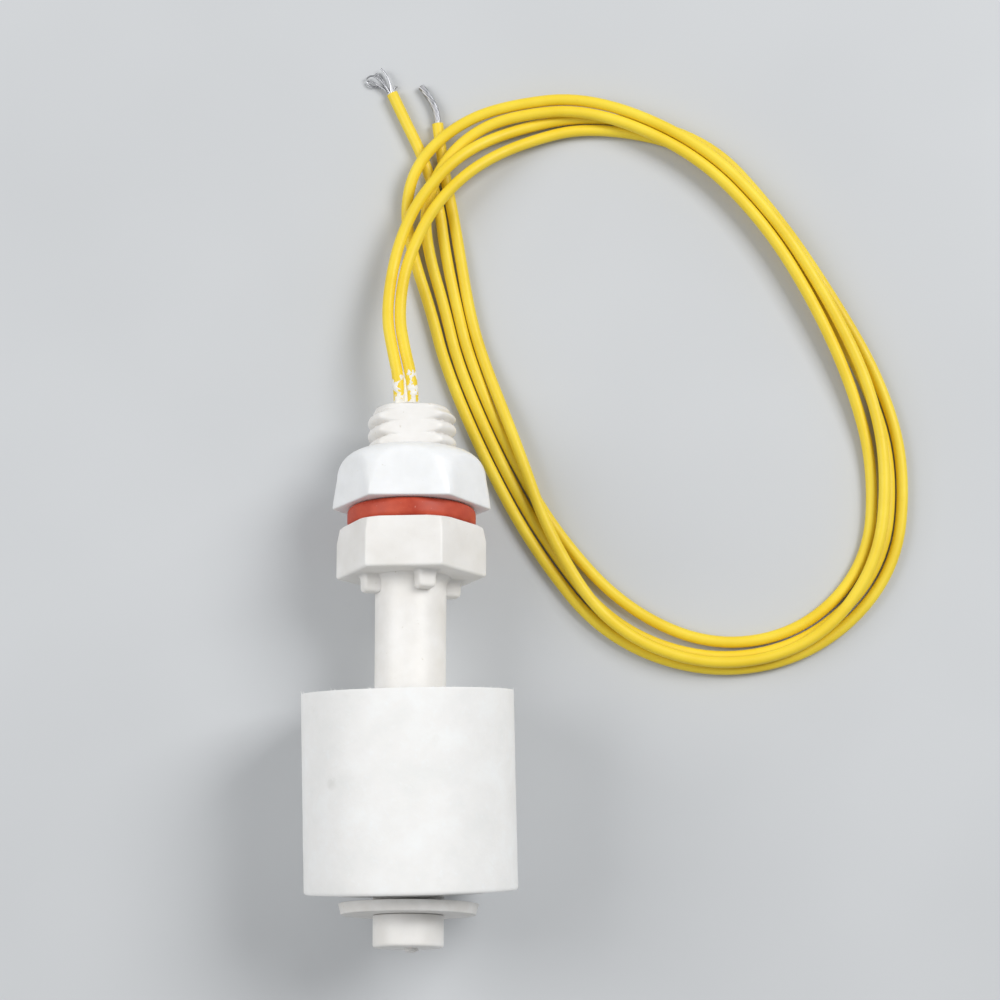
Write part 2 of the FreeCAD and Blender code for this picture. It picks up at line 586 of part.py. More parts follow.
def cord_line(points):
    """Straight runs joined by tangent arcs; returns the wire and the arcs' radii."""
    spots = [V(*point) for point in points]
    edges, radii = [], []
    last = spots[0]
    for before, here, after in zip(spots, spots[1:], spots[2:]):
        into, out = here - before, after - here
        cut = ARC_SHARE * min(into.Length, out.Length)
        turn = into.getAngle(out)
        radii.append(cut / math.tan(turn / 2))
        into.normalize()
        out.normalize()
        start, end = here - into * cut, here + out * cut
        towards = out - into
        towards.normalize()
        middle = here + towards * (radii[-1] / math.cos(turn / 2) - radii[-1])
        edges.append(Part.LineSegment(last, start).toShape())
        edges.append(Part.Arc(start, middle, end).toShape())
        last = end
    edges.append(Part.LineSegment(last, spots[-1]).toShape())
    return Part.Wire(edges), radii


def cord(label, points, diameter):
    line, radii = cord_line(points)
    start = V(*points[0])
    section = Part.Wire(Part.makeCircle(diameter / 2, start, V(*points[1]) - start))
    solid = line.makePipeShell([section], True, False)
    piece = doc.addObject("Part::Feature", label)
    piece.Shape = solid
    piece.Label = label
    expected = math.pi * diameter ** 2 / 4 * line.Length
    print("%s: length %.1f mm, radii %.1f to %.1f mm, volume over section x length %.4f"
          % (label, line.Length, min(radii), max(radii), solid.Volume / expected))
    return piece


wires = [cord("wire_a", WIRE_A, sheet.wire_diameter), cord("wire_b", WIRE_B, sheet.wire_diameter)]

# the stripped ends: wire a's is twisted and tinned into one rod, wire b's strands are splayed
TINNED_DIAMETER = 0.8
STRAND_DIAMETER = 0.2
TINNED = [(2.6, 64.4, 0.7), (2.37, 66.3, 0.68), (1.85, 68.0, 0.6), (1.1, 69.4, 0.5)]
wires.append(cord("conductor_a", TINNED, TINNED_DIAMETER))
ROOT = V(-2.7, 68.0, 0.7)
OUT = V(-0.424, 0.905, 0)
SIDE = V(0.905, 0.424, 0)
UP = V(0, 0, 1)
# each strand: start and end across and above the wire's middle, and its length
STRANDS = [
    (0.0, 0.0, 0.10, -0.20, 3.4), (0.24, 0.0, 1.20, -0.45, 3.0), (-0.24, 0.0, -1.30, -0.30, 3.1),
    (0.13, 0.22, 0.75, 0.35, 3.5), (-0.13, 0.22, -0.65, 0.30, 3.7), (0.13, -0.22, 0.60, -0.50, 2.6),
    (-0.13, -0.22, -0.80, -0.52, 3.3),
]
strands = []
for across, above, spread, rise, length in STRANDS:
    begin = ROOT + SIDE * across + UP * above
    bend = begin + OUT * (length * 0.35) + SIDE * ((spread - across) * 0.12) + UP * ((rise - above) * 0.12)
    finish = ROOT + OUT * length + SIDE * spread + UP * rise
    line, radii = cord_line([tuple(begin), tuple(bend), tuple(finish)])
    section = Part.Wire(Part.makeCircle(STRAND_DIAMETER / 2, begin, bend - begin))
    strands.append(line.makePipeShell([section], True, False))
splayed = doc.addObject("Part::Feature", "conductor_b")
splayed.Shape = Part.makeCompound(strands)
splayed.Label = "conductor_b"
doc.recompute()

# ---------------------------------------------------------------- checks and export
pieces = [stem, gasket, nut, clip, shell, cap, magnet, glass, blade_a, blade_b, sleeve, joint_a,
          joint_b, stub_a, stub_b, potting] + wires + [splayed]
for item in doc.Objects:
    bad = [state for state in item.State if state in ("Invalid", "Error")]
    if bad:
        raise RuntimeError("%s is %s" % (item.Label, bad))
os.makedirs("parts", exist_ok=True)
for piece in pieces:
    shape = piece.Shape
    if shape.isNull() or not shape.isValid():
        raise RuntimeError("%s has no valid shape" % piece.Label)
    shape.exportStep("parts/%s.step" % piece.Label)
    box = shape.BoundBox
    print("%-16s %8.1f mm3  x %6.2f %6.2f  y %6.2f %6.2f  z %6.2f %6.2f" % (
        piece.Label, shape.Volume, box.XMin, box.XMax, box.YMin, box.YMax, box.ZMin, box.ZMax))
for alias in DERIVED:
    print("%s = %s" % (alias, sheet.get(alias)))
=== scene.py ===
import json
import math
import random

import bpy
from mathutils import Matrix, Vector
from mathutils import noise as space_noise


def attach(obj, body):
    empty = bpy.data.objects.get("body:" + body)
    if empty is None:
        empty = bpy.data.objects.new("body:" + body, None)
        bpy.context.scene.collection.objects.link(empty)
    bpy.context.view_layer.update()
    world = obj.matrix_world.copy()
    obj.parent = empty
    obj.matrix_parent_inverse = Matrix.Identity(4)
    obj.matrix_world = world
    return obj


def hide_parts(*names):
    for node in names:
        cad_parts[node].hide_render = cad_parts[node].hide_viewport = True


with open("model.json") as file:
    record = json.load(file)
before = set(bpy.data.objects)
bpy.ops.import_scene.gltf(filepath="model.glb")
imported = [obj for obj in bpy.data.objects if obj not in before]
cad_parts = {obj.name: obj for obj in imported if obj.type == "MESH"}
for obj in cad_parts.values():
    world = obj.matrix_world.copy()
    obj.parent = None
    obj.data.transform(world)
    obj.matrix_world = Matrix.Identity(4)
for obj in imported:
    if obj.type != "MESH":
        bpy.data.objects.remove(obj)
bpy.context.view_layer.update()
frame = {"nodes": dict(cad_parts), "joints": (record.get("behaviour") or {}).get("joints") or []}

# ------------------------------------------------------------------ stem moulding
# The stem, hexagonal flange, stop lugs and threaded spigot are one moulding in natural polypropylene.
# It carries every other piece. The thread comes from a two-part mould, which leaves a smooth flat
# on the front and the back of the spigot where the halves part.
MM = 0.001
joints = {joint["name"]: joint for joint in frame["joints"]}


def upright(origin, along):
    """The place of a piece drawn with its Z along the given direction and its -Y facing up."""
    z = Vector(along).normalized()
    x = z.cross(Vector((0, 0, 1))).normalized()
    y = z.cross(x)
    place = Matrix((x, y, z)).transposed().to_4x4()
    place.translation = Vector(origin)
    return place


stem_place = upright(joints["nut_turn"]["pos_m"], joints["nut_turn"]["axis"])


def add_mesh(name, shells, place, sharp=38):
    """One object at a place, from shells of (points in millimetres, faces), smooth but for sharp edges."""
    points, faces = [], []
    for shell_points, shell_faces in shells:
        start = len(points)
        points += [Vector(point) * MM for point in shell_points]
        faces += [[start + index for index in face] for face in shell_faces]
    mesh = bpy.data.meshes.new(name)
    mesh.from_pydata([place @ point for point in points], [], faces)
    mesh.update()
    mesh.shade_smooth()
    mesh.set_sharp_from_angle(angle=math.radians(sharp))
    piece = bpy.data.objects.new(name, mesh)
    bpy.context.collection.objects.link(piece)
    return piece


def soften(corners, radii, steps=5):
    """Round an outline's corners; radii maps a corner's index to its radius."""
    outline = []
    count = len(corners)
    for index, corner in enumerate(corners):
        here = Vector(corner)
        radius = radii.get(index, 0)
        if not radius:
            outline.append(tuple(here))
            continue
        into = (here - Vector(corners[index - 1])).normalized()
        out = (Vector(corners[(index + 1) % count]) - here).normalized()
        turn = into.angle(out)
        reach = radius * math.tan(turn / 2)
        start, end = here - into * reach, here + out * reach
        for step in range(steps + 1):
            share = step / steps
            middle = start.lerp(here, share).lerp(here.lerp(end, share), share)
            outline.append(tuple(middle))
    return outline


def skin(rows, closed=True, capped=True):
    """Join rows of points into a surface; the last row also joins the first if closed."""
    width = len(rows[0])
    points = [point for row in rows for point in row]
    faces = []
    turns = len(rows) if closed else len(rows) - 1
    for row in range(turns):
        after = (row + 1) % len(rows)
        for step in range(width):
            beside = (step + 1) % width
            faces.append([row * width + step, row * width + beside,
                          after * width + beside, after * width + step])
    if capped and not closed:
        faces.append(list(range(width))[::-1])
        faces.append([(len(rows) - 1) * width + step for step in range(width)])
    return points, faces


def lathe(outline, steps=128, wobble=None):
    """Turn an outline of (radius, height) about Z. wobble changes a point's radius and height."""
    rows = []
    for radius, height in outline:
        row = []
        for step in range(steps):
            angle = 2 * math.pi * step / steps
            r, z = wobble(radius, height, angle) if wobble else (radius, height)
            row.append((r * math.cos(angle), r * math.sin(angle), z))
        rows.append(row)
    return skin(rows)


def hexagon_radius(angle, across, turn):
    """Distance from the middle to the side of a hexagon that has a corner at the given turn."""
    within = (angle - turn) % (math.pi / 3) - math.pi / 6
    return across / 2 / math.cos(within)


def blend_low(a, b, round_off):
    """The lower of two radii, with the edge between them rounded."""
    span = max(round_off - abs(a - b), 0) / round_off
    return min(a, b) - span * span * round_off / 4


def hexagonal(outline, across, turn, bore, round_off=0.25, steps=360):
    """A hexagonal block. From bottom to top, outline gives the radius that it is turned down to, the
    height, and how far its sides are drawn in there where a rim is rounded."""
    rows = []
    for radius, height, drawn_in in outline:
        row = []
        for step in range(steps):
            angle = 2 * math.pi * step / steps
            side = hexagon_radius(angle, across - 2 * drawn_in, turn)
            r = blend_low(side, radius - drawn_in, round_off)
            row.append((r * math.cos(angle), r * math.sin(angle), height))
        rows.append(row)
    for radius, height in bore:
        row = []
        for step in range(steps):
            angle = 2 * math.pi * step / steps
            row.append((radius * math.cos(angle), radius * math.sin(angle), height))
        rows.append(row)
    return skin(rows)


def lower_rim(radius, height, round_off, steps=5):
    """Rows for hexagonal that round the lower rim of a block."""
    rows = []
    for step in range(steps + 1):
        turn = math.pi / 2 * step / steps
        rows.append((radius, height + round_off * (1 - math.cos(turn)), round_off * (1 - math.sin(turn))))
    return rows


SPIGOT_LENGTH = 13.6
CREST = 4.95          # radius over the thread's teeth
ROOT = 4.22           # radius between them
PITCH = 1.5
MOULD_FLAT = 3.72     # from the middle to the smooth flats
BORE = 2.3
FLANGE = 5.6
FLANGE_ACROSS = 14.5
FLANGE_TURN = math.radians(-64.6)
LUG_TURN = math.radians(-68.5)
LUG_REACH = 5.65
LUG_WIDTH = 2.0
LUG_HEIGHT = 1.9
STEM_TOP = 3.95
STEM_TIP = 3.825
TIP = 46.0
GROOVE = 3.2
CLIP_FACE = 41.3
CLIP_THICKNESS = 1.2

# tube, groove and tip
tube_outline = soften([
    (0.02, -TIP + 2), (0.02, -TIP), (STEM_TIP, -TIP),
    (STEM_TIP, -CLIP_FACE - CLIP_THICKNESS - 0.05), (GROOVE, -CLIP_FACE - CLIP_THICKNESS - 0.05),
    (GROOVE, -CLIP_FACE + 0.05), (STEM_TIP + 0.01, -CLIP_FACE + 0.05),
    (STEM_TOP, -FLANGE - 0.5), (STEM_TOP + 0.55, -FLANGE + 0.05), (0.02, -FLANGE + 0.05),
], {2: 0.4, 3: 0.12, 6: 0.12, 7: 1.0})


def moulded(radius, height, angle):
    """A moulded surface is never quite true."""
    swell = 0.02 * space_noise.noise(Vector((math.cos(angle), math.sin(angle), height * 0.25)) * 1.3)
    return radius + swell, height


tube = lathe(tube_outline, 160, moulded)
flange = hexagonal(
    lower_rim(9.5, -FLANGE, 0.35) + [(9.5, -1.6, 0), (8.0, -0.1, 0), (7.8, 0.0, 0.05)],
    FLANGE_ACROSS, FLANGE_TURN, [(4.6, 0.0), (3.4, -0.5), (3.4, -FLANGE)])

# how far a lug's outline grows at each height over its lower face, where it rounds off and where
# its fillet runs into the flange
LUG_GROWTH = [(0.0, -0.38), (0.05, -0.22), (0.16, -0.10), (0.38, -0.02), (1.3, 0.0), (1.6, 0.05),
              (1.78, 0.16), (1.88, 0.34), (LUG_HEIGHT + 0.04, 0.5)]
LUG_ROUND = 0.42
LUG_FOOT = 3.3


def stop_lug(turn):
    """A rounded block on the stem, moulded with the flange above it."""
    middle = (LUG_FOOT + LUG_REACH) / 2
    rows = []
    for height, grow in LUG_GROWTH:
        ring = []
        for corner, (sx, sy) in enumerate(((1, 1), (-1, 1), (-1, -1), (1, -1))):
            for step in range(6):
                angle = math.pi / 2 * (corner + step / 5)
                out = middle + sx * (LUG_REACH - middle + grow - LUG_ROUND) + LUG_ROUND * math.cos(angle)
                side = sy * (LUG_WIDTH / 2 + grow - LUG_ROUND) + LUG_ROUND * math.sin(angle)
                ring.append((out * math.cos(turn) - side * math.sin(turn),
                             out * math.sin(turn) + side * math.cos(turn),
                             height - FLANGE - LUG_HEIGHT))
        rows.append(ring)
    return skin(rows, closed=False)


lugs = [stop_lug(LUG_TURN + quarter * math.pi / 2) for quarter in range(4)]

# the broken-off gate in the middle of the tip
GATE = 0.72


def torn(radius, height, angle):
    """The gate's end is left ragged where it broke off."""
    rag = 0.16 * space_noise.noise(Vector((radius * math.cos(angle) * 3, radius * math.sin(angle) * 3, 7)))
    return radius, height + (rag if height < -TIP - 0.1 else 0)


gate = lathe([(0.02, -TIP + 0.3), (GATE, -TIP + 0.3), (GATE, -TIP - 0.28), (GATE * 0.8, -TIP - 0.38),
              (GATE * 0.5, -TIP - 0.34), (0.02, -TIP - 0.38)], 40, torn)
gate = ([(x + 0.35, y, z) for x, y, z in gate[0]], gate[1])
stem = add_mesh("stem_moulding", [tube, flange, gate] + lugs, stem_place)


THREAD_FOOT = 0.9       # where the thread begins, and how far it takes to rise
THREAD_RISE = 0.8
THREAD_END = 0.35       # how far below the mouth it ends, and how far it takes to fall
THREAD_FALL = 0.7
TOOTH_POWER = 2.4       # fuller crests than a sine's
THREAD_RUFFLE = 0.03
FLAT_ROUNDING = 0.55    # softens the edge between the teeth and the flats
FLAT_LIMIT = 0.3        # the flats reach only this far round the spigot


def tooth(share):
    """The height of the thread over one pitch, 0 to 1: broad round crests and narrow valleys."""
    slope = abs(share - 0.5) * 2
    return 1 - slope ** TOOTH_POWER


def thread_radius(angle, height):
    """The radius of the spigot's skin, with its teeth and its two flats."""
    start = min(max((height - THREAD_FOOT) / THREAD_RISE, 0), 1)
    end = min(max((SPIGOT_LENGTH - THREAD_END - height) / THREAD_FALL, 0), 1)
    rise = tooth((height / PITCH - angle / (2 * math.pi)) % 1)
    spot = Vector((math.cos(angle) * 2, math.sin(angle) * 2, height * 1.1))
    ruffle = THREAD_RUFFLE * space_noise.noise(spot)
    radius = ROOT + (CREST - ROOT) * rise * start * end + ruffle
    lean = abs(math.sin(angle))
    if lean > FLAT_LIMIT:
        radius = blend_low(radius, MOULD_FLAT / lean, FLAT_ROUNDING)
    return min(radius, CREST)


THREAD_TURNS = 240
THREAD_ROWS = 190
thread_rows = []
for row in range(THREAD_ROWS + 1):
    height = SPIGOT_LENGTH * row / THREAD_ROWS
    inset = max(height - (SPIGOT_LENGTH - 0.3), 0) ** 2 * 2.2
    ring = []
    for step in range(THREAD_TURNS):
        angle = 2 * math.pi * step / THREAD_TURNS
        radius = thread_radius(angle, height) - inset
        ring.append((radius * math.cos(angle), radius * math.sin(angle), height))
    thread_rows.append(ring)
for radius, height in ((3.7, SPIGOT_LENGTH), (2.75, SPIGOT_LENGTH), (BORE + 0.12, SPIGOT_LENGTH - 0.08),
                       (BORE, SPIGOT_LENGTH - 0.3), (BORE, 0.0)):
    ring = []
    for step in range(THREAD_TURNS):
        angle = 2 * math.pi * step / THREAD_TURNS
        nick = 0.05 * space_noise.noise(Vector((math.cos(angle) * 3, math.sin(angle) * 3, radius)))
        ring.append((radius * math.cos(angle), radius * math.sin(angle), height + min(nick, 0)))
    thread_rows.append(ring)
thread = add_mesh("threaded_spigot", [skin(thread_rows)], stem_place, sharp=60)


def linear(code):
    """An sRGB hex colour as the linear colour that shaders take."""
    channels = [int(code[place:place + 2], 16) / 255 for place in (1, 3, 5)]
    return tuple(c / 12.92 if c <= 0.04045 else ((c + 0.055) / 1.055) ** 2.4 for c in channels) + (1.0,)


def node(tree, kind, settings=None, **inputs):
    """Add one node with its settings, with values or other nodes' outputs on its sockets.
    The setting stops gives a colour ramp its places and colours."""
    made = tree.nodes.new(kind)
    for key, value in (settings or {}).items():
        if key == "stops":
            elements = made.color_ramp.elements
            for index, (position, colour) in enumerate(value):
                element = elements[index] if index < 2 else elements.new(position)
                element.position = position
                element.color = colour
        else:
            setattr(made, key, value)
    for key, value in inputs.items():
        socket = made.inputs[int(key[1:])] if key[1:].isdigit() else made.inputs[key.replace("_", " ")]
        if isinstance(value, bpy.types.NodeSocket):
            tree.links.new(value, socket)
        else:
            socket.default_value = value
    return made


def per_mm(size):
    """A noise scale whose features are about the given size in millimetres."""
    return 1 / (size * MM)


def new_material(name):
    """An empty material with its tree, its Principled shader and the piece's own coordinates."""
    material = bpy.data.materials.new(name)
    material.use_nodes = True
    tree = material.node_tree
    tree.nodes.clear()
    shader = tree.nodes.new("ShaderNodeBsdfPrincipled")
    out = tree.nodes.new("ShaderNodeOutputMaterial")
    tree.links.new(shader.outputs[0], out.inputs["Surface"])
    place = tree.nodes.new("ShaderNodeTexCoord").outputs["Object"]
    return material, tree, shader, place


def moulded_polypropylene(name, light, deep, spot, clouding=4.0, roughness=0.42, grain=0.06):
    """Natural polypropylene from a satin mould: milky white, a little see-through, faintly clouded
    and dotted with a few specks of dust."""
    material, tree, shader, place = new_material(name)
    cloud = node(tree, "ShaderNodeTexNoise", Vector=place, Scale=per_mm(clouding), Detail=4.0,
                 Roughness=0.55).outputs["Fac"]
    colour = node(tree, "ShaderNodeValToRGB", {"stops": [(0.30, linear(deep)), (0.68, linear(light))]},
                  Fac=cloud).outputs["Color"]
    speck = node(tree, "ShaderNodeTexNoise", Vector=place, Scale=per_mm(0.6), Detail=2.0).outputs["Fac"]
    dust = node(tree, "ShaderNodeValToRGB", {"stops": [(0.72, (0, 0, 0, 1)), (0.80, (1, 1, 1, 1))]},
                Fac=speck).outputs["Color"]
    mixed = node(tree, "ShaderNodeMix", {"data_type": "RGBA"}, i0=dust, i6=colour, i7=linear(spot))
    tree.links.new(mixed.outputs[2], shader.inputs["Base Color"])
    sheen = node(tree, "ShaderNodeMapRange", Value=cloud, i1=0.2, i2=0.8, i3=roughness - 0.06,
                 i4=roughness + 0.1)
    tree.links.new(sheen.outputs[0], shader.inputs["Roughness"])
    fine = node(tree, "ShaderNodeTexNoise", Vector=place, Scale=per_mm(0.35), Detail=3.0).outputs["Fac"]
    wave = node(tree, "ShaderNodeTexNoise", Vector=place, Scale=per_mm(2.5), Detail=2.0).outputs["Fac"]
    both = node(tree, "ShaderNodeMath", {"operation": "MULTIPLY_ADD"}, i0=wave, i1=1.5, i2=fine)
    bump = node(tree, "ShaderNodeBump", Height=both.outputs[0], Strength=grain, Distance=0.12 * MM)
    tree.links.new(bump.outputs[0], shader.inputs["Normal"])
    shader.inputs["IOR"].default_value = 1.49
    shader.inputs["Subsurface Weight"].default_value = 0.2
    shader.inputs["Subsurface Radius"].default_value = (1.0, 0.95, 0.86)
    shader.inputs["Subsurface Scale"].default_value = 0.8 * MM
    return material


stem_polypropylene = moulded_polypropylene("satin_polypropylene_stem", "#EDEBE8", "#E3E0DB", "#D3CDC2")
for piece in (stem, thread):
    piece.data.materials.append(stem_polypropylene)
    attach(piece, "stem")
    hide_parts("stem_body")

# ------------------------------------------------------------------ gasket
# A moulded ring of red silicone rubber, squeezed between flange and nut, with a rounded outer edge.
GASKET_THICKNESS = 2.2
GASKET_RADIUS = 7.2
GASKET_BORE = 5.15


def squeezed(radius, height, angle):
    """Rubber bulges a little unevenly where it is squeezed."""
    if radius < 6:
        return radius, height
    bulge = space_noise.noise(Vector((math.cos(angle), math.sin(angle), 3)) * 1.7)
    return radius - 0.05 + 0.05 * bulge, height


gasket = add_mesh("gasket_ring", [lathe(soften([
    (GASKET_BORE, 0.0), (GASKET_RADIUS, 0.0), (GASKET_RADIUS, GASKET_THICKNESS),
    (GASKET_BORE, GASKET_THICKNESS)], {0: 0.1, 1: 0.75, 2: 0.75, 3: 0.1}, 8), 160, squeezed)], stem_place)


def red_silicone():
    """Silicone rubber: an even red with a soft, slightly greasy sheen and a little lint."""
    material, tree, shader, place = new_material("red_silicone_rubber")
    cloud = node(tree, "ShaderNodeTexNoise", Vector=place, Scale=per_mm(1.6), Detail=5.0).outputs["Fac"]
    colour = node(tree, "ShaderNodeValToRGB", {"stops": [(0.3, linear("#AE3D27")), (0.7, linear("#C5533A"))]},
                  Fac=cloud).outputs["Color"]
    lint = node(tree, "ShaderNodeTexNoise", Vector=place, Scale=per_mm(0.25), Detail=1.0).outputs["Fac"]
    pale = node(tree, "ShaderNodeValToRGB", {"stops": [(0.72, (0, 0, 0, 1)), (0.80, (0.6, 0.6, 0.6, 1))]},
                Fac=lint).outputs["Color"]
    mixed = node(tree, "ShaderNodeMix", {"data_type": "RGBA"}, i0=pale, i6=colour, i7=linear("#E2A492"))
    tree.links.new(mixed.outputs[2], shader.inputs["Base Color"])
    bump = node(tree, "ShaderNodeBump", Height=cloud, Strength=0.12, Distance=0.1 * MM)
    tree.links.new(bump.outputs[0], shader.inputs["Normal"])
    rough = node(tree, "ShaderNodeMapRange", Value=cloud, i1=0.2, i2=0.8, i3=0.42, i4=0.6)
    tree.links.new(rough.outputs[0], shader.inputs["Roughness"])
    shader.inputs["IOR"].default_value = 1.41
    return material


gasket.data.materials.append(red_silicone())
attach(gasket, "gasket_ring")
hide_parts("gasket")

# ------------------------------------------------------------------ mounting nut
# A hexagonal nut in natural polypropylene with a domed top, screwed down on the gasket by hand.
# Its seat side is a sharp hexagon and its top is turned down to a dome that leaves the six flats.
NUT_HEIGHT = 6.4
NUT_ACROSS = 15.4
NUT_SEAT = 8.85
NUT_TOP = 5.4
NUT_DOME = 2.9
NUT_BORE = 5.17
SIDE_ROWS = 14
DOME_ROWS = 24
nut_outline = lower_rim(NUT_SEAT, 0.0, 0.2)
for step in range(1, SIDE_ROWS + 1):
    share = step / SIDE_ROWS
    radius = NUT_SEAT + (NUT_TOP + NUT_DOME - NUT_SEAT) * share
    nut_outline.append((radius, 0.2 + (NUT_HEIGHT - NUT_DOME - 0.2) * share, 0))
for step in range(1, DOME_ROWS + 1):
    turn = math.pi / 2 * step / DOME_ROWS
    nut_outline.append((NUT_TOP + NUT_DOME * math.cos(turn),
                        NUT_HEIGHT - NUT_DOME + NUT_DOME * math.sin(turn), 0))
nut_bore = [(NUT_BORE + 0.25, NUT_HEIGHT), (NUT_BORE, NUT_HEIGHT - 0.25), (NUT_BORE, 0.2),
            (NUT_BORE + 0.2, 0.0)]
nut_shell = hexagonal(nut_outline, NUT_ACROSS, 0.0, nut_bore, round_off=0.3, steps=420)
nut_shell = ([(x, y, z + GASKET_THICKNESS) for x, y, z in nut_shell[0]], nut_shell[1])
nut = add_mesh("domed_nut", [nut_shell], stem_place)
nut.data.materials.append(moulded_polypropylene("satin_polypropylene_nut", "#F1F2F3", "#E9EAEA", "#D8D5CD",
                                                clouding=3.0, roughness=0.38))
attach(nut, "nut")
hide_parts("mounting_nut")

# ------------------------------------------------------------------ retaining clip
# A flat C-ring in natural polypropylene, pushed sideways into the stem's groove to hold the float on.
# Its outer face is turned slightly to a cone, and its rim keeps a ragged moulding burr.
CLIP_RADIUS = 7.6
CLIP_TAPER = 0.3
CLIP_BORE = 3.25
CLIP_OPENING = 4.5
clip_outline = soften([
    (CLIP_BORE, -CLIP_FACE - CLIP_THICKNESS), (CLIP_RADIUS - CLIP_TAPER, -CLIP_FACE - CLIP_THICKNESS),
    (CLIP_RADIUS, -CLIP_FACE), (CLIP_BORE, -CLIP_FACE)], {1: 0.15, 2: 0.08}, 3)
CLIP_STEPS = 150
clip_rows = []
for step in range(CLIP_STEPS + 1):
    row = []
    for radius, height in clip_outline:
        gap = math.asin(CLIP_OPENING / 2 / radius)
        angle = math.pi / 2 + gap + (2 * math.pi - 2 * gap) * step / CLIP_STEPS
        burr = 0.0
        if radius > CLIP_RADIUS - 0.45:
            rag = space_noise.noise(Vector((math.cos(angle) * 9, math.sin(angle) * 9, height * 2)))
            burr = 0.10 * min(rag, 0) - 0.02
        row.append(((radius + burr) * math.cos(angle), (radius + burr) * math.sin(angle), height))
    clip_rows.append(row)
clip = add_mesh("retaining_ring", [skin(clip_rows, closed=False)], stem_place)
clip.data.materials.append(moulded_polypropylene("satin_polypropylene_clip", "#E9E7E4", "#DEDBD6", "#C9C2B6",
                                                 clouding=2.0, roughness=0.5, grain=0.12))
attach(clip, "stem")
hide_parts("retaining_clip")

# ------------------------------------------------------------------ float
# The float is foamed polypropylene, moulded round a deep pocket at the clip end that takes the ring
# magnet. A disc of the same foam is welded over the pocket and stands a little proud.
# The edge at the flange end is sharp and still carries the fine hairs of its trimming.
float_place = upright(joints["float_spin"]["pos_m"], joints["float_spin"]["axis"])
FLOAT_RADIUS = 11.65
HALF = 10.85
FLOAT_BORE = 5.2165
MOUTH = 0.5
CAP_RADIUS = 8.05
CAP_DEPTH = 1.2
CAP_PROUD = 0.18
POCKET = (5.8165, 7.78)
MAGNET = (5.8965, 7.7)
MAGNET_LENGTH = 5.0
FIT = 0.08
cap_seat = -HALF + CAP_DEPTH
pocket_end = cap_seat + MAGNET_LENGTH + 2 * FIT


def foamed(radius, height, angle):
    """Foam shrinks a little as it cools, so its skin dips here and there."""
    if radius < 9:
        return radius, height
    spot = Vector((math.cos(angle) * 1.6, math.sin(angle) * 1.6, height * 0.16))
    dip = 0.06 * space_noise.noise(spot) + 0.02 * space_noise.noise(spot * 4)
    lift = 0.05 * space_noise.noise(Vector((math.cos(angle) * 2, math.sin(angle) * 2, radius * 0.3)))
    end = abs(height) > HALF - 0.05
    return radius - 0.05 + dip * 0.7, height - math.copysign(0.05 - lift * 0.8, height) * (1 if end else 0)


side = [(FLOAT_RADIUS, -HALF + 1.0 + (2 * HALF - 1.2) * step / 24) for step in range(25)]
shell_outline = soften([(POCKET[0], cap_seat), (POCKET[0], pocket_end), (POCKET[1], pocket_end),
                        (POCKET[1], cap_seat), (CAP_RADIUS + 0.02, cap_seat), (CAP_RADIUS + 0.02, -HALF),
                        (FLOAT_RADIUS, -HALF)] + side[1:] +
                       [(FLOAT_RADIUS, HALF), (FLOAT_BORE + MOUTH, HALF), (FLOAT_BORE, HALF - MOUTH),
                        (FLOAT_BORE, cap_seat)],
                       {5: 0.12, 6: 0.5, 31: 0.15})
shell = add_mesh("foam_float", [lathe(shell_outline, 224, foamed)], float_place)


SCUFF_PLACE = (-7.97, -12.02, 20.14)    # a dull spot left of the middle, millimetres


